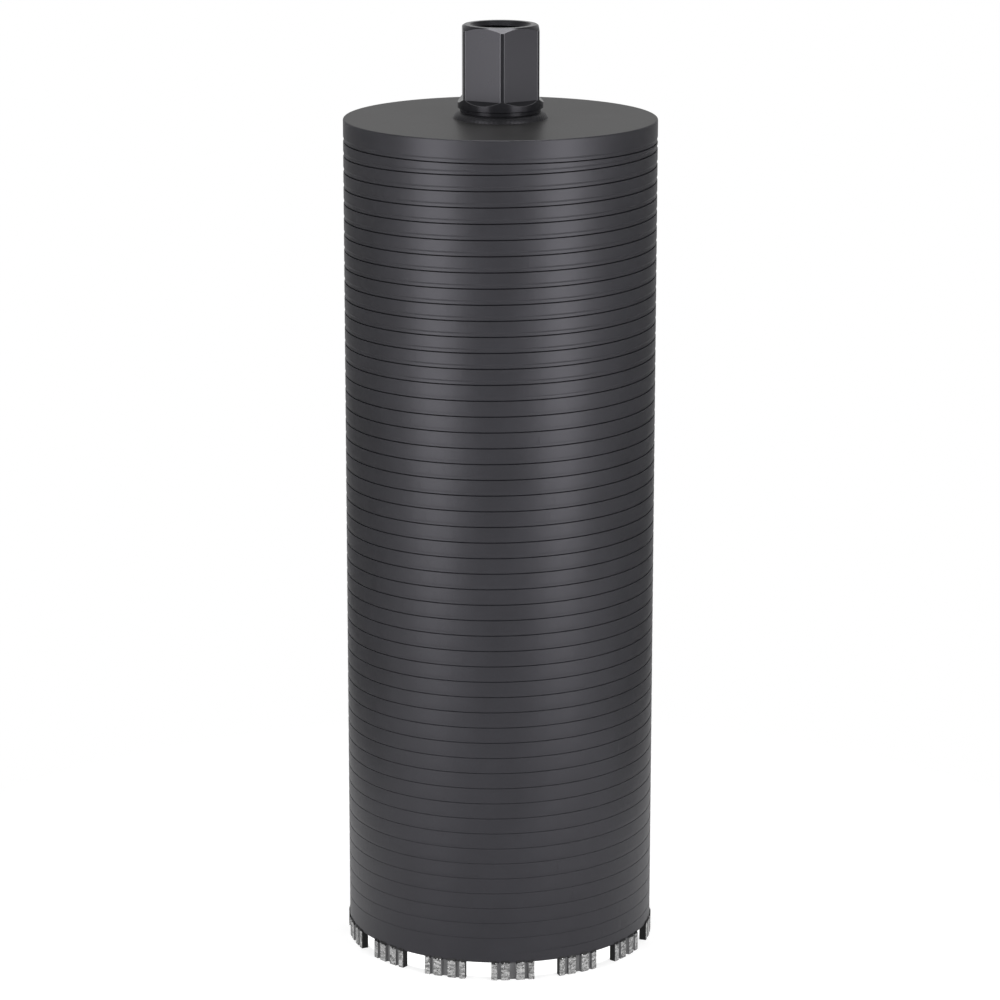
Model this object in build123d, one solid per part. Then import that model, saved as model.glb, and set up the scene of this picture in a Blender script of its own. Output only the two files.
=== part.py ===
from build123d import *
import os
from math import degrees, radians, sqrt, tan

# Diamond core bit for a rig-mounted wet core drill, standing on its cutting segments.
# Z is the drilling axis, and Z = 0 is the plane of the cutting ends. All sizes are in millimetres.

# Cutting ring
cutting_diameter = 172.0      # across the segments' outer faces
segment_count = 14
first_segment_angle = -85.4   # middle of the first segment, in degrees from +X
segment_height = 10.0         # below the tube's rim
segment_length = 24.0         # along the outer arc
segment_overhang = 0.7        # how far a segment stands proud of the tube, outside and inside

# Flutes that carry water and slurry past each segment
end_rib_width = 3.25
side_flute_width = 2.25
side_flute_depth = 1.4
middle_flute_width = 3.8
middle_flute_depth = 1.9
inner_flute_width = 2.4
inner_flute_depth = 1.4
flute_draft = 15.0            # degrees, each wall

# Weld shoulder above each segment, against the tube's outer face
shoulder_height = 1.2

# Tube
tube_wall = 2.6
tube_length = 446.0
ring_groove_width = 3.0       # at the tube's surface
ring_groove_depth = 0.5
ring_groove_lip_run = 0.1     # height that its steep lower wall takes up
ring_groove_slope_run = 0.9   # height that its sloping upper wall takes up
ring_groove_land = 1.6        # plain band between the groove and the tube's top end

# End cap
cap_thickness = 8.0           # above the tube's top end
cap_edge_chamfer = 0.8
register_depth = 4.0          # step that reaches down into the tube
register_clearance = 0.1
weld_land = 0.6               # wall that stays square under the cap, inside the weld bevel

# Hub
hub_height = 50.5             # above the cap
across_flats = 41.0
flat_count = 6
flat_turn = 2.1               # degrees from +X to the middle of the first flat
corner_trim = 0.47            # turned off the hexagon's corners
collar_height = 11.0          # cap face to the foot of the flats
run_out_angle = 42.0          # slope at the foot of each flat, in degrees from level
collar_taper_height = 0.5     # where the collar narrows to the neck
neck_height = 5.2
neck_recess = 1.2             # from the turned radius in to the neck
spigot_shoulder = 1.2         # step that seats the hub on the cap
spigot_clearance = 0.1
top_chamfer_angle = 36.0
top_face_inset = 0.8          # of the top face's circle from the flats

# Spindle thread, 1 1/4 inch with 7 turns to the inch: the bore is cut at its minor diameter
thread_minor_diameter = 28.2
thread_major_diameter = 31.75
countersink_clearance = 0.9   # beyond the thread's major radius

# Fillet weld between hub and cap
hub_weld_leg = 3.8            # along the cap
hub_weld_height = 3.5         # up the neck

cut_margin = 1.0              # how far a cutter reaches past the surface that it opens

cutting_radius = cutting_diameter / 2
tube_outer_radius = cutting_radius - segment_overhang
tube_inner_radius = tube_outer_radius - tube_wall
core_radius = tube_inner_radius - segment_overhang

rim_z = segment_height
tube_top_z = rim_z + tube_length
cap_top_z = tube_top_z + cap_thickness
spigot_foot_z = tube_top_z - register_depth
hub_top_z = cap_top_z + hub_height

flat_distance = across_flats / 2
hub_radius = across_flats / sqrt(3) - corner_trim
neck_radius = hub_radius - neck_recess
spigot_radius = neck_radius - spigot_shoulder
bore_radius = thread_minor_diameter / 2
bevel = tube_wall - weld_land


def outlined(plane, *points):
    """Closed flat face with these corners."""
    with BuildSketch(plane) as section:
        with BuildLine():
            Polyline(*points, close=True)
        make_face()
    return section.sketch


def turned(*points):
    """Solid of revolution about Z, from the (radius, z) corners of its section."""
    return revolve(outlined(Plane.XZ, *points), Axis.Z, 360)


def around(shape, angle):
    """Copy of a shape, turned about the drilling axis."""
    return shape.moved(Location((0, 0, 0), (0, 0, angle)))


def make_barrel():
    """Drawn tube with the dwell ring turned into its outer face."""
    groove_top = tube_top_z - ring_groove_land
    groove_foot = groove_top - ring_groove_width
    floor_radius = tube_outer_radius - ring_groove_depth
    return turned(
        (tube_inner_radius, rim_z),
        (tube_outer_radius, rim_z),
        (tube_outer_radius, groove_foot),
        (floor_radius, groove_foot + ring_groove_lip_run),
        (floor_radius, groove_top - ring_groove_slope_run),
        (tube_outer_radius, groove_top),
        (tube_outer_radius, tube_top_z),
        (tube_inner_radius, tube_top_z),
    )


def make_end_cap():
    """Plate on the tube's end, with the centring step, the weld bevel and the hole for the hub."""
    hole_radius = spigot_radius + spigot_clearance
    register_radius = tube_inner_radius - register_clearance
    return turned(
        (hole_radius, spigot_foot_z),
        (register_radius, spigot_foot_z),
        (register_radius, tube_top_z),
        (tube_outer_radius - bevel, tube_top_z),
        (tube_outer_radius, tube_top_z + bevel),
        (tube_outer_radius, cap_top_z - cap_edge_chamfer),
        (tube_outer_radius - cap_edge_chamfer, cap_top_z),
        (hole_radius, cap_top_z),
    )


def make_cap_weld():
    """Weld metal that fills the cap's bevel, flush with the tube."""
    return turned(
        (tube_outer_radius - bevel, tube_top_z),
        (tube_outer_radius, tube_top_z),
        (tube_outer_radius, tube_top_z + bevel),
    )


def make_flat_cutter():
    """What the cutter takes off along +X for one wrench flat and its sloping run-out."""
    reach = hub_radius + cut_margin
    foot_z = cap_top_z + collar_height
    run_out_drop = (reach - flat_distance) * tan(radians(run_out_angle))
    section = outlined(
        Plane.XZ,
        (flat_distance, foot_z),
        (reach, foot_z - run_out_drop),
        (reach, hub_top_z + cut_margin),
        (flat_distance, hub_top_z + cut_margin),
    )
    return extrude(section, reach, both=True)


def make_hub():
    """Coupling: spigot, neck, collar and six milled flats round a bore for the spindle thread."""
    neck_top_z = cap_top_z + neck_height
    top_face_radius = flat_distance - top_face_inset
    chamfer_drop = (hub_radius - top_face_radius) * tan(radians(top_chamfer_angle))
    countersink_radius = thread_major_diameter / 2 + countersink_clearance
    hub = turned(
        (bore_radius, spigot_foot_z),
        (spigot_radius, spigot_foot_z),
        (spigot_radius, cap_top_z),
        (neck_radius, cap_top_z),
        (neck_radius, neck_top_z),
        (hub_radius, neck_top_z + collar_taper_height),
        (hub_radius, hub_top_z - chamfer_drop),
        (top_face_radius, hub_top_z),
        (countersink_radius, hub_top_z),
        (bore_radius, hub_top_z - (countersink_radius - bore_radius)),
    )
    flat_cutter = make_flat_cutter()
    for number in range(flat_count):
        hub -= around(flat_cutter, flat_turn + number * 360 / flat_count)
    return hub


def make_hub_weld():
    """Fillet weld in the corner between the hub's neck and the cap."""
    return turned(
        (neck_radius, cap_top_z),
        (neck_radius + hub_weld_leg, cap_top_z),
        (neck_radius, cap_top_z + hub_weld_height),
    )


def make_flute_cutter(arc_offset, width, depth, mouth_radius, side):
    """Drafted slot as tall as a segment with its shoulder. It opens at mouth_radius, outwards for
    side 1 and inwards for side -1, arc_offset along the outer arc from the segment's middle."""
    slope = tan(radians(flute_draft))
    mouth = width / 2 + cut_margin * slope
    floor = width / 2 - depth * slope
    section = outlined(
        Plane.XY.offset(-cut_margin),
        (mouth_radius + side * cut_margin, -mouth),
        (mouth_radius + side * cut_margin, mouth),
        (mouth_radius - side * depth, floor),
        (mouth_radius - side * depth, -floor),
    )
    cutter = extrude(section, segment_height + shoulder_height + 2 * cut_margin)
    return around(cutter, degrees(arc_offset / cutting_radius))


def make_segment():
    """Diamond segment at +X: a block bent to the cutting circle, its weld shoulder and flutes."""
    length_angle = degrees(segment_length / cutting_radius)
    section = outlined(
        Plane.XZ,
        (core_radius, 0),
        (cutting_radius, 0),
        (cutting_radius, rim_z),
        (tube_outer_radius, rim_z + shoulder_height),
        (tube_outer_radius, rim_z),
        (core_radius, rim_z),
    )
    segment = around(revolve(section, Axis.Z, length_angle), -length_angle / 2)
    side_offset = (segment_length - side_flute_width) / 2 - end_rib_width
    inner_offset = (side_offset - side_flute_width / 2 + middle_flute_width / 2) / 2
    segment -= make_flute_cutter(0, middle_flute_width, middle_flute_depth, cutting_radius, 1)
    for end in (-1, 1):
        segment -= make_flute_cutter(
            end * side_offset, side_flute_width, side_flute_depth, cutting_radius, 1)
        segment -= make_flute_cutter(
            end * inner_offset, inner_flute_width, inner_flute_depth, core_radius, -1)
    return segment


def save(node, shape):
    """Write one piece as its own file."""
    export_step(shape, f"parts/{node}.step")


os.makedirs("parts", exist_ok=True)
save("barrel", make_barrel())
save("end_cap", make_end_cap())
save("cap_weld", make_cap_weld())
save("hub", make_hub())
save("hub_weld", make_hub_weld())
first_segment = make_segment()
for number in range(segment_count):
    angle = first_segment_angle + number * 360 / segment_count
    save(f"segment_{number + 1:02d}", around(first_segment, angle))
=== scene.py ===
import math

import bpy
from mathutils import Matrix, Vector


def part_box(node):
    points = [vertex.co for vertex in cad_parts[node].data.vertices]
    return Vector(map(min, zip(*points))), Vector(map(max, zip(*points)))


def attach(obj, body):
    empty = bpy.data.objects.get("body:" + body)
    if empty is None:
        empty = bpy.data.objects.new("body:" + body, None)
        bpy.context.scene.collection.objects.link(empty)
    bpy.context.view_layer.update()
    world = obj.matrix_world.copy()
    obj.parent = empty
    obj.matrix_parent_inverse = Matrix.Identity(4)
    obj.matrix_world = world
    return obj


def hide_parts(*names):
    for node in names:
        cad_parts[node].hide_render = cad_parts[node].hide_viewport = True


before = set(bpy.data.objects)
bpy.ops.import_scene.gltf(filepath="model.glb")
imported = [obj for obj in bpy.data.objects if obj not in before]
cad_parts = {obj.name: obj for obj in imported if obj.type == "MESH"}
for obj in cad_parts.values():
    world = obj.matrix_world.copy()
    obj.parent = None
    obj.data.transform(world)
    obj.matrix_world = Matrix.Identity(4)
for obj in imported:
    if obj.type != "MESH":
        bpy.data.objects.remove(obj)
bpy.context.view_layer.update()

# Diamond core bit: a painted steel tube with diamond segments on its rim, a flush-welded cap and a
# hexagonal hub with a spindle thread. Sizes are in millimetres unless a line says otherwise.
MM = 0.001                    # metres in a millimetre


def low(node, axis):
    """Lowest place of a CAD node along an axis, in millimetres."""
    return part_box(node)[0]["xyz".index(axis)] / MM


def high(node, axis):
    """Highest place of a CAD node along an axis, in millimetres."""
    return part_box(node)[1]["xyz".index(axis)] / MM


# Tube
tube_radius = high("barrel", "x")
tube_wall = 2.6
rim_z = low("barrel", "z")
tube_top_z = high("barrel", "z")
rim_chamfer = 0.3
tube_steps = 180              # facets round the tube, and for each turn of its groove

# Dwell ring and helical groove. Their section, from its foot up: a sharp lip, a narrow notch, a
# shallower floor and a sloping upper wall
groove_width = 3.0
groove_depth = 0.3
notch_depth = 0.9
notch_width = 0.65            # from the lip up to the floor
worn_share = 0.9              # of its depth that the groove has lost at the rim, by wear and paint
lip_run = 0.08                # height that the lower wall takes up
slope_run = 1.0               # height that the upper wall takes up
ring_land = 1.6               # plain band above the ring
helix_pitch = 8.6
helix_turns = 50.6
helix_end_angle = 154         # where the groove leaves the ring, in degrees from +X
helix_run_out = 32            # degrees over which the groove's lower end fades out
cutter_reach = 0.4            # how far the groove's cutter stands out of the tube
cutter_lift = 0.02            # how far its faded end clears the tube

# Cap
cap_top_z = high("end_cap", "z")
cap_edge_radius = 0.9
cap_edge_steps = 6
register_gap = 0.1            # round the cap's centring step and the hub's spigot
weld_bevel = high("cap_weld", "z") - low("cap_weld", "z")

# Hub
hub_radius = high("hub", "x")
hub_top_z = high("hub", "z")
spigot_foot_z = low("hub", "z")
across_flats = 41.0
flat_count = 6
flat_turn = 2.1               # degrees from +X to the middle of the first flat
collar_height = 11.0
run_out_angle = 42.0          # slope at the foot of each flat
collar_taper_height = 0.5
neck_recess = 1.2             # from the turned radius in to the neck
neck_height = 5.2
spigot_shoulder = 1.2
top_chamfer_angle = 36.0
top_face_inset = 0.8
hub_edge_round = 0.4
hub_steps = 144
flat_tool_margin = 1.0        # how far the flats' cutter stands out of the hub

# Spindle thread, 1 1/4 inch with 7 turns to the inch
thread_pitch = 25.4 / 7
thread_minor_radius = 14.1
thread_major_radius = 15.875
thread_flank = 30.0           # degrees, each side
thread_tool_depth = 0.3       # how far the thread's cutter reaches inside the bore
thread_steps = 72
countersink_gap = 0.9

# Fillet weld round the hub's neck
bead_leg = high("hub_weld", "x") - (hub_radius - neck_recess)
bead_height = high("hub_weld", "z") - low("hub_weld", "z")
bead_bulge = 0.7
bead_crown_steps = 8
bead_ripples = 64
bead_ripple_steps = 6         # facets for each ripple
bead_ripple_height = 0.13
bead_ripple_floor = 0.6       # share of its height by which a ripple is sunk
bead_ripple_rise = 0.6        # how far a ripple lifts for each millimetre that it stands out
bead_ripple_curl = 2.4        # radians of its phase by which a ripple's foot is ahead of its middle

# Segments
segment_count = 14
first_segment_angle = -85.4   # middle of the first segment, in degrees from +X
segment_length = 24.0         # along the outer arc
segment_overhang = 0.7
segment_edge_round = 0.18

# Paint and bare metal
paint_peel_scale = 700.0      # lumps of orange peel for each metre
cool_gloss = (0.93, 0.91, 1.0)
warm_gloss = (1.0, 0.99, 0.98)
painted_highlight_band = (22.9, 23.187)    # radii of the hub's edges that take a paler tone: a painted highlight
rib_margin = 0.14             # depth below the ribs' faces that counts as ground
foot_margin = 0.12            # the same on the cutting ends
end_margin = 0.2              # the same on the segments' end faces and at their welds

# Studio, in metres and degrees
softboxes = [
    # name, azimuth, elevation, distance, width, height, height of its aim, radiance
    ("left_softbox", -45.8, 0, 0.75, 0.36, 1.2, 0.63, 4.0),
    ("right_softbox", 42.6, 0, 0.75, 0.36, 1.2, 0.63, 4.2),
    ("hub_softbox", 66, 0, 0.75, 0.2, 0.09, 0.4, 2.5),
    ("back_softbox", 180, 76, 1.5, 0.9, 0.4, 0.5, 9.8),
]
shadow_near = 0.09            # where the floor's shadows are strongest, from the axis
shadow_far = 0.4              # where they have faded out
shadow_whiteness = 0.55       # share of plain white in the floor where its shadows are strongest
painted_glow_near = 1.38             # strength of that white there: painted light that makes up for what the lamps lack
painted_glow_in_tube = (0.079, 0.0835)  # radii between which the floor turns from glowing plain white, painted light over the tube's shade, to shaded
mirrored_share = 0.4          # of that white that gloss sees
floor_grey = 0.8
flag_place = (0.3, 0.21, 0.35)
flag_size = (0.48, 0.7, 1)
flag_grey = 0.42
horizon_level, zenith_level = 0.7, 0.3


def deselect():
    """Leave nothing selected."""
    bpy.ops.object.select_all(action="DESELECT")


def only(piece):
    """Make one piece the whole selection."""
    deselect()
    piece.select_set(True)
    bpy.context.view_layer.objects.active = piece


def arc(centre_r, centre_z, radius, start, end, steps):
    """Points of a round corner in a section, with its angles in degrees."""
    angles = [math.radians(start + (end - start) * step / steps) for step in range(steps + 1)]
    return [(centre_r + radius * math.cos(a), centre_z + radius * math.sin(a)) for a in angles]


def apply_modifier(piece, modifier):
    """Apply a modifier to its piece."""
    only(piece)
    bpy.ops.object.modifier_apply(modifier=modifier.name)


def close_mesh():
    """Merge the doubles of the mesh in edit mode and turn its faces outwards."""
    bpy.ops.mesh.select_all(action="SELECT")
    bpy.ops.mesh.remove_doubles(threshold=0.001 * MM)
    bpy.ops.mesh.normals_make_consistent(inside=False)


def turned(name, outline, steps):
    """Ring of revolution about Z: a circle extruded from corner to corner of its section."""
    deselect()
    r, z = outline[0]
    bpy.ops.mesh.primitive_circle_add(vertices=steps, radius=r * MM, location=(0, 0, z * MM))
    piece = bpy.context.object
    piece.name = name
    bpy.ops.object.transform_apply(location=True, rotation=True, scale=True)
    bpy.ops.object.mode_set(mode="EDIT")
    bpy.ops.mesh.select_all(action="SELECT")
    for next_r, next_z in outline[1:] + outline[:1]:
        lift = (0, 0, (next_z - z) * MM)
        bpy.ops.mesh.extrude_region_move(TRANSFORM_OT_translate={"value": lift})
        grow = next_r / r
        bpy.ops.transform.resize(value=(grow, grow, 1), center_override=(0, 0, next_z * MM))
        r, z = next_r, next_z
    close_mesh()
    bpy.ops.object.mode_set(mode="OBJECT")
    return piece


def helix(name, section, pitch, turns, foot_z, start_angle, steps):
    """Tool that follows a right-handed helix, with a section of (radius, height) corners."""
    deselect()
    bpy.ops.mesh.primitive_circle_add(vertices=len(section), radius=1)
    tool = bpy.context.object
    tool.name = name
    along, across = math.cos(start_angle), math.sin(start_angle)
    for corner, (r, z) in zip(tool.data.vertices, section):
        corner.co = (r * along * MM, r * across * MM, (foot_z + z) * MM)
    sweep = tool.modifiers.new("sweep", "SCREW")
    sweep.angle = 2 * math.pi * turns
    sweep.screw_offset = pitch * turns * MM
    sweep.steps = sweep.render_steps = round(steps * turns)
    sweep.iterations = 1
    sweep.use_merge_vertices = False
    apply_modifier(tool, sweep)
    return tool


def close_tool(tool):
    """Cap the two ends of a swept tool."""
    only(tool)
    bpy.ops.object.mode_set(mode="EDIT")
    bpy.ops.mesh.select_all(action="SELECT")
    bpy.ops.mesh.fill_holes(sides=8)
    bpy.ops.mesh.normals_make_consistent(inside=False)
    bpy.ops.object.mode_set(mode="OBJECT")


def cut(piece, tool):
    """Take a tool's shape out of a piece, and put the tool away."""
    cutting = piece.modifiers.new("cut", "BOOLEAN")
    cutting.operation = "DIFFERENCE"
    cutting.solver = "EXACT"
    cutting.object = tool
    apply_modifier(piece, cutting)
    bpy.data.objects.remove(tool)


def round_edges(piece, width, angle):
    """Round every edge that is sharper than an angle in degrees."""
    rounding = piece.modifiers.new("rounding", "BEVEL")
    rounding.width = width * MM
    rounding.segments = 2
    rounding.limit_method = "ANGLE"
    rounding.angle_limit = math.radians(angle)
    rounding.use_clamp_overlap = True
    apply_modifier(piece, rounding)


def smooth(piece, angle):
    """Shade a piece smooth, with edges sharper than an angle in degrees kept and flat faces flat."""
    only(piece)
    bpy.ops.object.shade_smooth_by_angle(angle=math.radians(angle))
    flatten = piece.modifiers.new("flatten", "WEIGHTED_NORMAL")
    flatten.keep_sharp = True
    flatten.weight = 100
    apply_modifier(piece, flatten)


def hand_over(piece, node, slot, *finishes):
    """Give a finished piece its materials and its body, and hide the CAD node that it stands for."""
    for finish in finishes:
        piece.data.materials.append(finish)
    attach(piece, "root")
    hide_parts(node)


# Node groups that several finishes share

def start_group(name, inputs, outputs):
    """Empty shader node group with named sockets."""
    group = bpy.data.node_groups.new(name, "ShaderNodeTree")
    for label, kind, value in inputs:
        socket = group.interface.new_socket(label, in_out="INPUT", socket_type=kind)
        if value is not None:
            socket.default_value = value
    for label, kind in outputs:
        group.interface.new_socket(label, in_out="OUTPUT", socket_type=kind)
    source = group.nodes.new("NodeGroupInput")
    sink = group.nodes.new("NodeGroupOutput")
    return group, source.outputs, sink.inputs


def feed(tree, socket, value):
    """Give an input a number, a colour or another node's output."""
    if isinstance(value, (int, float)):
        socket.default_value = value
    elif isinstance(value, tuple):
        socket.default_value = (*value, 1)
    else:
        tree.links.new(value, socket)


def noise(tree, position, scale, detail, roughness=0.5):
    """Noise texture. Its value comes back."""
    node = tree.nodes.new("ShaderNodeTexNoise")
    tree.links.new(position, node.inputs["Vector"])
    feed(tree, node.inputs["Scale"], scale)
    node.inputs["Detail"].default_value = detail
    node.inputs["Roughness"].default_value = roughness
    return node.outputs["Fac"]


def spread(tree, value, from_low, from_high, to_low, to_high):
    """Map one range to another, held at its ends."""
    node = tree.nodes.new("ShaderNodeMapRange")
    tree.links.new(value, node.inputs["Value"])
    limits = {"From Min": from_low, "From Max": from_high, "To Min": to_low, "To Max": to_high}
    for label, limit in limits.items():
        feed(tree, node.inputs[label], limit)
    return node.outputs["Result"]


def sums(tree, operation, first, second=0.0):
    """Math node, for an operation on one value or two. Its result comes back."""
    node = tree.nodes.new("ShaderNodeMath")
    node.operation = operation
    for socket, value in zip(node.inputs, (first, second)):
        feed(tree, socket, value)
    return node.outputs["Value"]


def blend(tree, share, first, second):
    """Mix two colours."""
    node = tree.nodes.new("ShaderNodeMix")
    node.data_type = "RGBA"
    tree.links.new(share, node.inputs[0])
    for socket, value in zip((node.inputs[6], node.inputs[7]), (first, second)):
        feed(tree, socket, value)
    return node.outputs[2]


def from_axis(tree, position):
    """X, Y, Z and the distance from the drilling axis."""
    parts = tree.nodes.new("ShaderNodeSeparateXYZ")
    tree.links.new(position, parts.inputs[0])
    x, y, z = parts.outputs
    squares = sums(tree, "ADD", sums(tree, "MULTIPLY", x, x), sums(tree, "MULTIPLY", y, y))
    return x, y, z, sums(tree, "SQRT", squares)


def make_paint_film():
    """Sprayed paint: soft mottling of its tone, a fine orange peel and uneven gloss."""
    group, source, sink = start_group(
        "paint_film",
        [
            ("Position", "NodeSocketVector", None),
            ("Deep Tone", "NodeSocketColor", (0.01, 0.01, 0.01, 1)),
            ("Pale Tone", "NodeSocketColor", (0.02, 0.02, 0.02, 1)),
            ("Peel Scale", "NodeSocketFloat", paint_peel_scale),
            ("Lowest Roughness", "NodeSocketFloat", 0.36),
            ("Highest Roughness", "NodeSocketFloat", 0.44),
        ],
        [
            ("Color", "NodeSocketColor"),
            ("Roughness", "NodeSocketFloat"),
            ("Height", "NodeSocketFloat"),
        ],
    )
    cloud = noise(group, source["Position"], 38.0, 3.0, 0.55)
    peel = noise(group, source["Position"], source["Peel Scale"], 2.0)
    dust = noise(group, source["Position"], 2600.0, 1.0)
    mottle = sums(group, "ADD", cloud, sums(group, "MULTIPLY", dust, 0.35))
    share = spread(group, mottle, 0.45, 0.9, 0.0, 1.0)
    group.links.new(blend(group, share, source["Deep Tone"], source["Pale Tone"]), sink["Color"])
    gloss = sums(group, "ADD", sums(group, "MULTIPLY", cloud, 0.6), sums(group, "MULTIPLY", peel, 0.4))
    rough = spread(group, gloss, 0.3, 0.7, source["Lowest Roughness"], source["Highest Roughness"])
    group.links.new(rough, sink["Roughness"])
    height = sums(group, "ADD", peel, sums(group, "MULTIPLY", dust, 0.15))
    group.links.new(height, sink["Height"])
    return group


def make_segment_faces():
    """Masks of a segment's faces. Ground is what has touched the grinding wheel: the ribs' outer and
    inner faces and the cutting ends. Ends is its two end faces, and Shoulder the weld above it. The
    metal is smeared over the line between Ground and Shoulder."""
    group, source, sink = start_group(
        "segment_faces",
        [
            ("Position", "NodeSocketVector", None),
            ("Outer Radius", "NodeSocketFloat", 0.086),
            ("Inner Radius", "NodeSocketFloat", 0.082),
            ("Foot", "NodeSocketFloat", 0.0003),
            ("Rim", "NodeSocketFloat", 0.01),
            ("First Angle", "NodeSocketFloat", 0.0),
            ("Spacing", "NodeSocketFloat", 0.45),
            ("Half Length", "NodeSocketFloat", 0.14),
        ],
        [
            ("Ground", "NodeSocketFloat"),
            ("Ends", "NodeSocketFloat"),
            ("Shoulder", "NodeSocketFloat"),
        ],
    )
    x, y, z, radius = from_axis(group, source["Position"])
    smear = sums(group, "SUBTRACT", noise(group, source["Position"], 700.0, 3.0), 0.5)
    height = sums(group, "ADD", z, sums(group, "MULTIPLY", smear, 0.0034))
    outer = sums(group, "GREATER_THAN", radius, source["Outer Radius"])
    inner = sums(group, "LESS_THAN", radius, source["Inner Radius"])
    foot = sums(group, "LESS_THAN", z, source["Foot"])
    faces = sums(group, "MAXIMUM", sums(group, "MAXIMUM", outer, inner), foot)
    below = sums(group, "LESS_THAN", height, source["Rim"])
    group.links.new(sums(group, "MULTIPLY", faces, below), sink["Ground"])
    angle = sums(group, "SUBTRACT", sums(group, "ARCTAN2", y, x), source["First Angle"])
    place = sums(group, "ADD", sums(group, "DIVIDE", angle, source["Spacing"]), 0.5)
    aside = sums(group, "ABSOLUTE", sums(group, "SUBTRACT", sums(group, "FRACT", place), 0.5))
    away = sums(group, "MULTIPLY", aside, source["Spacing"])
    group.links.new(sums(group, "GREATER_THAN", away, source["Half Length"]), sink["Ends"])
    group.links.new(sums(group, "GREATER_THAN", height, source["Rim"]), sink["Shoulder"])
    return group


def make_diamond_grit():
    """Sintered metal: pits, diamond grains that stand out of it, and the grinding wheel's scores."""
    group, source, sink = start_group(
        "diamond_grit",
        [
            ("Position", "NodeSocketVector", None),
            ("Grain Scale", "NodeSocketFloat", 1400.0),
        ],
        [
            ("Grains", "NodeSocketFloat"),
            ("Pits", "NodeSocketFloat"),
            ("Scores", "NodeSocketFloat"),
            ("Height", "NodeSocketFloat"),
        ],
    )
    cells = group.nodes.new("ShaderNodeTexVoronoi")
    group.links.new(source["Position"], cells.inputs["Vector"])
    group.links.new(source["Grain Scale"], cells.inputs["Scale"])
    grains = spread(group, cells.outputs["Distance"], 0.16, 0.3, 1.0, 0.0)
    pits = spread(group, noise(group, source["Position"], 800.0, 4.0, 0.6), 0.54, 0.64, 0.0, 1.0)
    stretch = group.nodes.new("ShaderNodeMapping")
    stretch.inputs["Scale"].default_value = (1, 1, 3.5)
    group.links.new(source["Position"], stretch.inputs["Vector"])
    streaks = noise(group, stretch.outputs["Vector"], 240.0, 4.0, 0.65)
    scores = spread(group, streaks, 0.36, 0.64, 0.0, 1.0)
    group.links.new(grains, sink["Grains"])
    group.links.new(pits, sink["Pits"])
    group.links.new(scores, sink["Scores"])
    high_places = sums(group, "ADD", grains, sums(group, "MULTIPLY", scores, 0.8))
    height = sums(group, "SUBTRACT", high_places, sums(group, "MULTIPLY", pits, 1.4))
    group.links.new(height, sink["Height"])
    return group


# Finishes

def start_finish(name):
    """Empty material. Its tree, its shader and its object coordinates come back with it."""
    finish = bpy.data.materials.new(name)
    finish.use_nodes = True
    tree = finish.node_tree
    tree.nodes.clear()
    shader = tree.nodes.new("ShaderNodeBsdfPrincipled")
    output = tree.nodes.new("ShaderNodeOutputMaterial")
    tree.links.new(shader.outputs["BSDF"], output.inputs["Surface"])
    position = tree.nodes.new("ShaderNodeTexCoord").outputs["Object"]
    return finish, tree, shader, position


def place_group(tree, group, position, **values):
    """Put a node group in a material, with its own values."""
    node = tree.nodes.new("ShaderNodeGroup")
    node.node_tree = group
    tree.links.new(position, node.inputs["Position"])
    for label, value in values.items():
        feed(tree, node.inputs[label.replace("_", " ")], value)
    return node.outputs


def add_bump(tree, shader, height, distance):
    """Feed a height, with its full distance in millimetres, to a shader's normal."""
    bump = tree.nodes.new("ShaderNodeBump")
    bump.inputs["Strength"].default_value = 1.0
    bump.inputs["Distance"].default_value = distance * MM
    tree.links.new(height, bump.inputs["Height"])
    tree.links.new(bump.outputs["Normal"], shader.inputs["Normal"])


def make_paint(name, paint_film, deep, pale, rough, specular, tint, relief, painted_edge_highlight=None):
    """Black satin paint on steel. Its last argument is a paler tone painted on the hub's edges: a
    painted highlight.
    """
    finish, tree, shader, position = start_finish(name)
    film = place_group(
        tree, paint_film, position, Deep_Tone=deep, Pale_Tone=pale,
        Lowest_Roughness=0.95 * rough, Highest_Roughness=1.05 * rough)
    color = film["Color"]
    # A paler tone on the hub's edges: a painted highlight
    if painted_edge_highlight:
        inner, outer = painted_highlight_band
        radius = from_axis(tree, position)[-1]
        inside = sums(tree, "GREATER_THAN", radius, inner * MM)
        edges = sums(tree, "MULTIPLY", inside, sums(tree, "LESS_THAN", radius, outer * MM))
        color = blend(tree, edges, color, painted_edge_highlight)
    tree.links.new(color, shader.inputs["Base Color"])
    tree.links.new(film["Roughness"], shader.inputs["Roughness"])
    shader.inputs["Specular IOR Level"].default_value = specular
    shader.inputs["Specular Tint"].default_value = (*tint, 1)
    add_bump(tree, shader, film["Height"], relief)
    return finish


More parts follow.
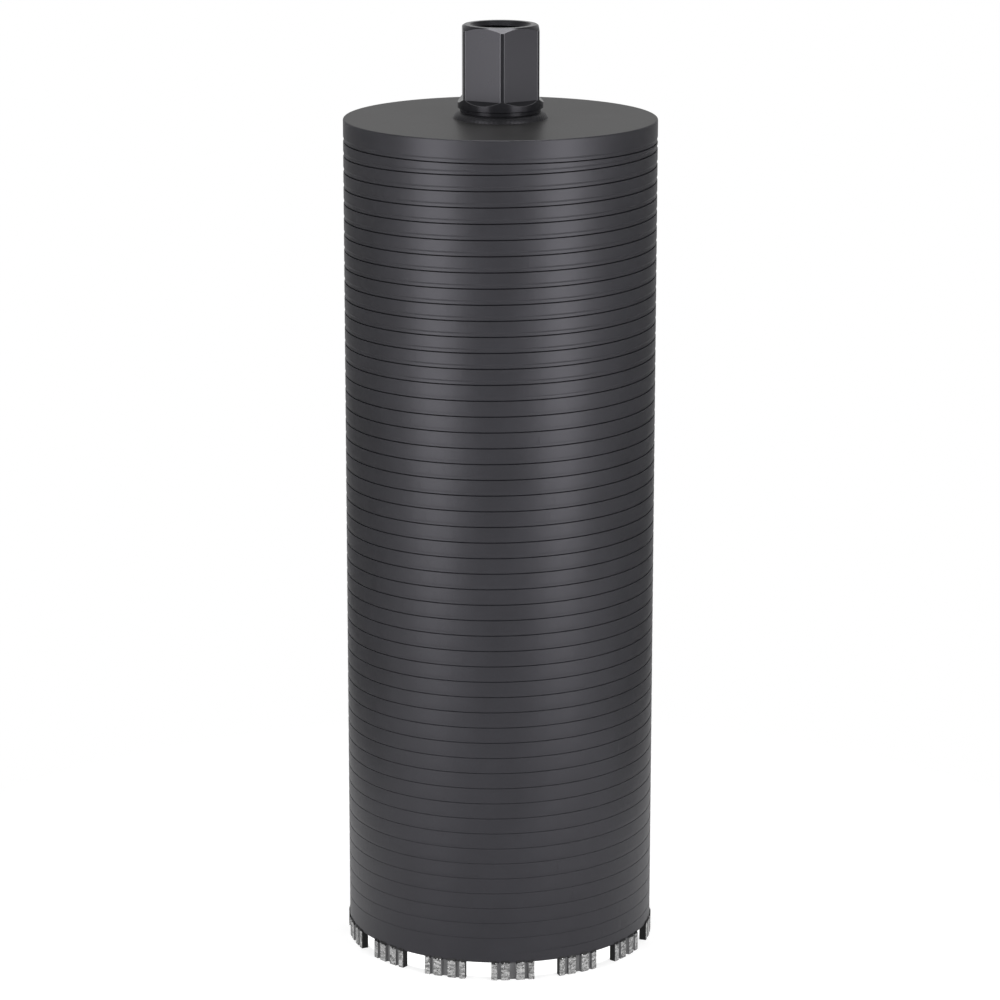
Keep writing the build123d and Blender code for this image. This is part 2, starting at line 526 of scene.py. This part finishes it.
def make_segment_metal(paint_film, segment_faces, diamond_grit):
    """Diamond segments: ground bright on their ribs, and painted in the flutes and on the ends."""
    finish, tree, shader, position = start_finish("segment_metal")
    film = place_group(
        tree, paint_film, position, Deep_Tone=(0.084, 0.084, 0.086), Pale_Tone=(0.18, 0.18, 0.184),
        Peel_Scale=1500.0, Lowest_Roughness=0.5, Highest_Roughness=0.62)
    faces = place_group(
        tree, segment_faces, position,
        Outer_Radius=(tube_radius + segment_overhang - rib_margin) * MM,
        Inner_Radius=(tube_radius - tube_wall - segment_overhang + rib_margin) * MM,
        Foot=foot_margin * MM, Rim=(rim_z - end_margin) * MM,
        First_Angle=math.radians(first_segment_angle),
        Spacing=2 * math.pi / segment_count,
        Half_Length=(segment_length / 2 - end_margin) / (tube_radius + segment_overhang))
    grit = place_group(tree, diamond_grit, position, Grain_Scale=1100.0)
    paint = blend(tree, sums(tree, "MAXIMUM", faces["Ends"], faces["Shoulder"]),
                  film["Color"], (0.006, 0.006, 0.0066))
    metal = blend(tree, grit["Scores"], (0.16, 0.16, 0.16), (0.62, 0.62, 0.62))
    metal = blend(tree, grit["Pits"], metal, (0.09, 0.09, 0.09))
    metal = blend(tree, grit["Grains"], metal, (0.7, 0.694, 0.68))
    tree.links.new(blend(tree, faces["Ground"], paint, metal), shader.inputs["Base Color"])
    tree.links.new(faces["Ground"], shader.inputs["Metallic"])
    bare_rough = spread(tree, grit["Pits"], 0.0, 1.0, 0.25, 0.5)
    rough = spread(tree, faces["Ground"], 0.0, 1.0, film["Roughness"], bare_rough)
    tree.links.new(rough, shader.inputs["Roughness"])
    shader.inputs["Specular IOR Level"].default_value = 0.36
    peel = sums(tree, "MULTIPLY", film["Height"], 0.6)
    add_bump(tree, shader, spread(tree, faces["Ground"], 0.0, 1.0, peel, grit["Height"]), 0.06)
    return finish


# Pieces

def fade_out_groove(tool, start_angle):
    """Lead the groove tool out of the steel over the last part of its lower turn."""
    steps = round(helix_run_out / 360 * tube_steps)
    turn = 2 * math.pi / tube_steps
    foot_z = tube_top_z - ring_land - groove_width - helix_pitch * helix_turns
    only(tool)
    bpy.ops.object.mode_set(mode="EDIT")
    bpy.ops.mesh.select_mode(type="VERT")
    bpy.ops.mesh.select_all(action="DESELECT")
    bpy.ops.object.mode_set(mode="OBJECT")
    for corner in tool.data.vertices:
        angle = math.atan2(corner.co.y, corner.co.x) - start_angle
        near = abs((angle + math.pi) % (2 * math.pi) - math.pi) < turn / 4
        corner.select = near and corner.co.z < (foot_z + helix_pitch - 1) * MM
    bpy.ops.object.mode_set(mode="EDIT")
    for step in range(steps):
        drop = (0, 0, -helix_pitch / tube_steps * MM)
        bpy.ops.mesh.extrude_region_move(TRANSFORM_OT_translate={"value": drop})
        bpy.ops.transform.rotate(value=turn, orient_axis="Z", center_override=(0, 0, 0))
        angle = start_angle - (step + 1) * turn
        out = (notch_depth + cutter_lift) / steps * MM
        bpy.ops.transform.translate(value=(out * math.cos(angle), out * math.sin(angle), 0))
    bpy.ops.object.mode_set(mode="OBJECT")


def wear_groove(tool):
    """Make the groove tool shallower towards the rim, where the tube rubs most."""
    for corner in tool.data.vertices:
        x, y, z = corner.co
        radius = math.hypot(x, y)
        depth = tube_radius * MM - radius
        if depth > 0:
            lost = worn_share * (1 - z / (tube_top_z * MM)) * depth
            corner.co = (x + x / radius * lost, y + y / radius * lost, z)


def make_tube():
    """Tube with its dwell ring and the helical groove that runs down from it."""
    inner = tube_radius - tube_wall
    floor = tube_radius - groove_depth
    notch = tube_radius - notch_depth
    ring_top = tube_top_z - ring_land
    ring_foot = ring_top - groove_width
    tube = turned("grooved_tube", [
        (inner + rim_chamfer, rim_z),
        (tube_radius - rim_chamfer, rim_z),
        (tube_radius, rim_z + rim_chamfer),
        (tube_radius, ring_foot),
        (notch, ring_foot + lip_run),
        (floor, ring_foot + notch_width),
        (floor, ring_top - slope_run),
        (tube_radius, ring_top),
        (tube_radius, tube_top_z),
        (inner, tube_top_z),
        (inner, rim_z + rim_chamfer),
    ], tube_steps)
    mouth = tube_radius + cutter_reach
    section = [
        (notch, lip_run),
        (mouth, -lip_run * cutter_reach / notch_depth),
        (mouth, groove_width + slope_run * cutter_reach / groove_depth),
        (floor, groove_width - slope_run),
        (floor, notch_width),
    ]
    start_angle = math.radians(helix_end_angle - 360 * helix_turns)
    foot_z = ring_foot - helix_pitch * helix_turns
    tool = helix("groove_tool", section, helix_pitch, helix_turns, foot_z, start_angle, tube_steps)
    fade_out_groove(tool, start_angle)
    wear_groove(tool)
    close_tool(tool)
    cut(tube, tool)
    smooth(tube, 15)
    return tube


def make_cap():
    """End plate with its centring step, the weld bevel and a rounded outer edge. Its top face takes
    the second of its finishes: a paler copy of the black paint, painted light from above."""
    hole = hub_radius - neck_recess - spigot_shoulder + register_gap
    register = tube_radius - tube_wall - register_gap
    edge = arc(
        tube_radius - cap_edge_radius, cap_top_z - cap_edge_radius, cap_edge_radius, 0, 90,
        cap_edge_steps)
    cap = turned("cap_plate", [
        (hole, spigot_foot_z),
        (register, spigot_foot_z),
        (register, tube_top_z),
        (tube_radius - weld_bevel, tube_top_z),
        (tube_radius, tube_top_z + weld_bevel),
        *edge,
        (hole, cap_top_z),
    ], tube_steps)
    smooth(cap, 30)
    for face in cap.data.polygons:
        on_top = face.normal.z > 0.99 and face.center.z > (cap_top_z - 0.1) * MM
        face.material_index = 1 if on_top else 0
    return cap


def make_cap_seam():
    """Weld metal in the cap's bevel, ground flush before it was painted."""
    seam = turned("cap_seam", [
        (tube_radius - weld_bevel, tube_top_z),
        (tube_radius, tube_top_z),
        (tube_radius, tube_top_z + weld_bevel),
    ], tube_steps)
    smooth(seam, 30)
    return seam


def make_flat_tool(angle):
    """Block that mills one flat and the slope at its foot."""
    flat = across_flats / 2
    reach = hub_radius + flat_tool_margin
    foot_z = cap_top_z + collar_height
    top_z = hub_top_z + flat_tool_margin
    deselect()
    middle = ((flat + reach) / 2 * MM, 0, (foot_z + top_z) / 2 * MM)
    size = ((reach - flat) * MM, 2 * reach * MM, (top_z - foot_z) * MM)
    bpy.ops.mesh.primitive_cube_add(size=1, location=middle, scale=size)
    tool = bpy.context.object
    bpy.ops.object.transform_apply(location=True, rotation=True, scale=True)
    for corner in tool.data.vertices:
        outside = corner.co.x > (flat + reach) / 2 * MM
        if outside and corner.co.z < (foot_z + 1) * MM:
            corner.co.z -= (reach - flat) * math.tan(math.radians(run_out_angle)) * MM
    tool.rotation_euler.z = math.radians(angle)
    bpy.ops.object.transform_apply(location=False, rotation=True, scale=False)
    return tool


def make_thread_tool():
    """Tool that cuts the spindle thread, from below the spigot to above the mouth."""
    inner = thread_minor_radius - thread_tool_depth
    root = thread_pitch / 16
    mouth = root + (thread_major_radius - inner) * math.tan(math.radians(thread_flank))
    section = [
        (inner, -mouth),
        (thread_major_radius, -root),
        (thread_major_radius, root),
        (inner, mouth),
    ]
    foot_z = spigot_foot_z - thread_pitch
    turns = math.ceil((hub_top_z - foot_z) / thread_pitch)
    tool = helix("thread_tool", section, thread_pitch, turns, foot_z, 0, thread_steps)
    close_tool(tool)
    return tool


def make_hub():
    """Turned and milled coupling, threaded right through."""
    neck = hub_radius - neck_recess
    spigot = neck - spigot_shoulder
    neck_top_z = cap_top_z + neck_height
    top_face = across_flats / 2 - top_face_inset
    chamfer_drop = (hub_radius - top_face) * math.tan(math.radians(top_chamfer_angle))
    countersink = thread_major_radius + countersink_gap
    hub = turned("threaded_hub", [
        (thread_minor_radius, spigot_foot_z),
        (spigot, spigot_foot_z),
        (spigot, cap_top_z),
        (neck, cap_top_z),
        (neck, neck_top_z),
        (hub_radius, neck_top_z + collar_taper_height),
        (hub_radius, hub_top_z - chamfer_drop),
        (top_face, hub_top_z),
        (countersink, hub_top_z),
        (thread_minor_radius, hub_top_z - (countersink - thread_minor_radius)),
    ], hub_steps)
    for number in range(flat_count):
        cut(hub, make_flat_tool(flat_turn + number * 360 / flat_count))
    round_edges(hub, hub_edge_round, 22)
    cut(hub, make_thread_tool())
    smooth(hub, 25)
    return hub


def make_bead():
    """Fillet weld round the neck: a crowned bead with the ripples of its passes."""
    neck = hub_radius - neck_recess
    slant = math.atan2(bead_leg, bead_height)
    crown = []
    for step in range(1, bead_crown_steps):
        share = step / bead_crown_steps
        bulge = bead_bulge * math.sin(math.pi * share)
        r = neck + bead_leg * (1 - share) + bulge * math.cos(slant)
        z = cap_top_z + bead_height * share + bulge * math.sin(slant)
        crown.append((r, z))
    bead = turned("hub_bead", [
        (neck, cap_top_z),
        (neck + bead_leg, cap_top_z),
        *crown,
        (neck, cap_top_z + bead_height),
    ], bead_ripples * bead_ripple_steps)
    for corner in bead.data.vertices:
        x, y, z = corner.co
        radius = math.hypot(x, y)
        share = (z / MM - cap_top_z) / bead_height
        seated = radius < (neck + 0.01) * MM or share < 0.01 or share > 0.99
        if seated:
            continue
        phase = math.atan2(y, x) * bead_ripples + bead_ripple_curl * math.cos(math.pi * share)
        lift = bead_ripple_height * (abs(math.sin(phase / 2)) - bead_ripple_floor) * MM
        corner.co = (x + x / radius * lift, y + y / radius * lift, z + lift * bead_ripple_rise)
    smooth(bead, 60)
    return bead


def make_segment(node):
    """Diamond segment from its CAD solid, with its edges worn round."""
    segment = bpy.data.objects.new(f"diamond_{node}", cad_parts[node].data.copy())
    bpy.context.scene.collection.objects.link(segment)
    segment.data.materials.clear()
    only(segment)
    bpy.ops.object.mode_set(mode="EDIT")
    close_mesh()
    bpy.ops.mesh.dissolve_limited(angle_limit=math.radians(0.3))
    bpy.ops.object.mode_set(mode="OBJECT")
    round_edges(segment, segment_edge_round, 28)
    smooth(segment, 40)
    return segment


# Studio

def make_floor():
    """Plain white floor, seen from above only. It shows its shadows near the bit, and only a share
    of its white to gloss. Inside the tube it glows plain white where the tube shades it, and near the
    bit it glows more strongly: painted light."""
    deselect()
    bpy.ops.mesh.primitive_plane_add(size=40, location=(0, 0, -0.05 * MM))
    floor = bpy.context.object
    floor.name = "studio_floor"
    finish = bpy.data.materials.new("studio_floor")
    finish.use_nodes = True
    tree = finish.node_tree
    tree.nodes.clear()
    position = tree.nodes.new("ShaderNodeTexCoord").outputs["Object"]
    path = tree.nodes.new("ShaderNodeLightPath").outputs
    facing = tree.nodes.new("ShaderNodeNewGeometry").outputs["Backfacing"]
    paper = tree.nodes.new("ShaderNodeBsdfDiffuse")
    paper.inputs["Color"].default_value = (floor_grey, floor_grey, floor_grey, 1)
    white = tree.nodes.new("ShaderNodeEmission")
    clear = tree.nodes.new("ShaderNodeBsdfTransparent")
    length = tree.nodes.new("ShaderNodeVectorMath")
    length.operation = "LENGTH"
    tree.links.new(position, length.inputs[0])
    distance = length.outputs["Value"]
    outside = spread(tree, distance, shadow_near, shadow_far, shadow_whiteness, 1.0)
    strength = spread(tree, distance, shadow_near, shadow_far, painted_glow_near, 1.0)
    tree.links.new(strength, white.inputs["Strength"])
    # Inside the tube the floor glows plain white: painted light over the tube's shade
    inside = spread(tree, distance, *painted_glow_in_tube, 1.0, 0.0)
    fade = sums(tree, "MAXIMUM", outside, inside)
    mirrored = sums(tree, "MULTIPLY", path["Is Glossy Ray"], mirrored_share)
    seen = sums(tree, "MAXIMUM", path["Is Camera Ray"], mirrored)
    seen = sums(tree, "MAXIMUM", seen, path["Is Transmission Ray"])
    surface = tree.nodes.new("ShaderNodeMixShader")
    tree.links.new(sums(tree, "MULTIPLY", seen, fade), surface.inputs[0])
    tree.links.new(paper.outputs[0], surface.inputs[1])
    tree.links.new(white.outputs[0], surface.inputs[2])
    sided = tree.nodes.new("ShaderNodeMixShader")
    tree.links.new(facing, sided.inputs[0])
    tree.links.new(surface.outputs[0], sided.inputs[1])
    tree.links.new(clear.outputs[0], sided.inputs[2])
    output = tree.nodes.new("ShaderNodeOutputMaterial")
    tree.links.new(sided.outputs[0], output.inputs["Surface"])
    floor.data.materials.append(finish)


def make_room():
    """Studio walls: bright near the floor and dim overhead."""
    world = bpy.data.worlds.new("studio")
    bpy.context.scene.world = world
    world.use_nodes = True
    tree = world.node_tree
    tree.nodes.clear()
    direction = tree.nodes.new("ShaderNodeTexCoord").outputs["Generated"]
    parts = tree.nodes.new("ShaderNodeSeparateXYZ")
    tree.links.new(direction, parts.inputs[0])
    level = spread(tree, parts.outputs["Z"], 0.05, 0.7, horizon_level, zenith_level)
    background = tree.nodes.new("ShaderNodeBackground")
    background.inputs["Color"].default_value = (1, 1, 1, 1)
    tree.links.new(level, background.inputs["Strength"])
    output = tree.nodes.new("ShaderNodeOutputWorld")
    tree.links.new(background.outputs[0], output.inputs["Surface"])


def add_softbox(name, azimuth, elevation, distance, width, height, aim_z, radiance):
    """Soft box that faces the bit. Its angles are in degrees from the camera's side, its sizes and
    distance in metres, and its radiance is that of a white card at 1."""
    turn, rise = math.radians(azimuth), math.radians(elevation)
    lamp = bpy.data.lights.new(name, "AREA")
    lamp.shape = "RECTANGLE"
    lamp.size = width
    lamp.size_y = height
    lamp.energy = radiance * math.pi * width * height
    box = bpy.data.objects.new(name, lamp)
    bpy.context.scene.collection.objects.link(box)
    away = distance * math.cos(rise)
    box.location = (away * math.sin(turn), -away * math.cos(turn), aim_z + distance * math.sin(rise))
    box.rotation_euler = (math.pi / 2 - rise, 0, turn)
    box.visible_camera = False


def add_flag(name, side):
    """Grey card beside the bit that only gloss sees. It keeps the tube's flanks dark."""
    deselect()
    x, y, z = flag_place
    bpy.ops.mesh.primitive_plane_add(size=1, location=(side * x, y, z))
    card = bpy.context.object
    card.name = name
    card.scale = flag_size
    card.rotation_euler = (math.pi / 2, 0, math.pi / 2)
    finish = bpy.data.materials.new(name)
    finish.use_nodes = True
    tree = finish.node_tree
    tree.nodes.clear()
    cloth = tree.nodes.new("ShaderNodeBsdfDiffuse")
    cloth.inputs["Color"].default_value = (flag_grey, flag_grey, flag_grey, 1)
    output = tree.nodes.new("ShaderNodeOutputMaterial")
    tree.links.new(cloth.outputs[0], output.inputs["Surface"])
    card.data.materials.append(finish)
    card.visible_camera = card.visible_diffuse = False
    card.visible_transmission = card.visible_shadow = False


def add_camera():
    """Camera at the photograph's viewing angle."""
    lens = bpy.data.cameras.new("camera")
    lens.sensor_fit = "HORIZONTAL"
    lens.sensor_width = 36.0
    lens.lens = 134.2
    camera = bpy.data.objects.new("camera", lens)
    bpy.context.scene.collection.objects.link(camera)
    camera.location = (-8.94 * MM, -2008.3 * MM, 751.3 * MM)
    camera.rotation_euler = (math.radians(90 - 14.0015), math.radians(-0.045), math.radians(-0.2413))
    bpy.context.scene.camera = camera


bpy.context.scene.view_settings.view_transform = "Standard"
add_camera()
make_floor()
make_room()
for softbox in softboxes:
    add_softbox(*softbox)
add_flag("left_flag", -1)
add_flag("right_flag", 1)

paint_film = make_paint_film()
segment_faces = make_segment_faces()
diamond_grit = make_diamond_grit()
tube_paint = make_paint(
    "tube_paint", paint_film, deep=(0.0083, 0.0083, 0.0099), pale=(0.0127, 0.0127, 0.0151),
    rough=0.42, specular=0.5, tint=cool_gloss, relief=0.012)
# A paler copy of the black paint for the cap's top face: painted light from above
lit_cap_top_paint = make_paint(
    "lit_cap_top_paint", paint_film, deep=(0.0205, 0.0205, 0.0207), pale=(0.033, 0.0324, 0.0324),
    rough=0.4, specular=0.23, tint=warm_gloss, relief=0.008)
# The hub's edges take a paler tone: a painted highlight
hub_paint = make_paint(
    "hub_paint", paint_film, deep=(0.006, 0.006, 0.0072), pale=(0.0092, 0.0092, 0.0108),
    rough=0.23, specular=0.34, tint=cool_gloss, relief=0.004, painted_edge_highlight=(0.047, 0.047, 0.05))
# A darker copy of the black paint for the bead: painted shade under the collar
shaded_weld_paint = make_paint(
    "shaded_weld_paint", paint_film, deep=(0.0062, 0.0062, 0.0069), pale=(0.0094, 0.0094, 0.0104),
    rough=0.4, specular=0.34, tint=cool_gloss, relief=0.012)
segment_metal = make_segment_metal(paint_film, segment_faces, diamond_grit)

hand_over(make_tube(), "barrel", "black_paint", tube_paint)
hand_over(make_cap(), "end_cap", "black_paint", tube_paint, lit_cap_top_paint)
hand_over(make_cap_seam(), "cap_weld", "black_paint", tube_paint)
hand_over(make_hub(), "hub", "black_paint", hub_paint)
hand_over(make_bead(), "hub_weld", "black_paint", shaded_weld_paint)
for node in sorted(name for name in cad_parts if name.startswith("segment_")):
    hand_over(make_segment(node), node, "segment_metal", segment_metal)
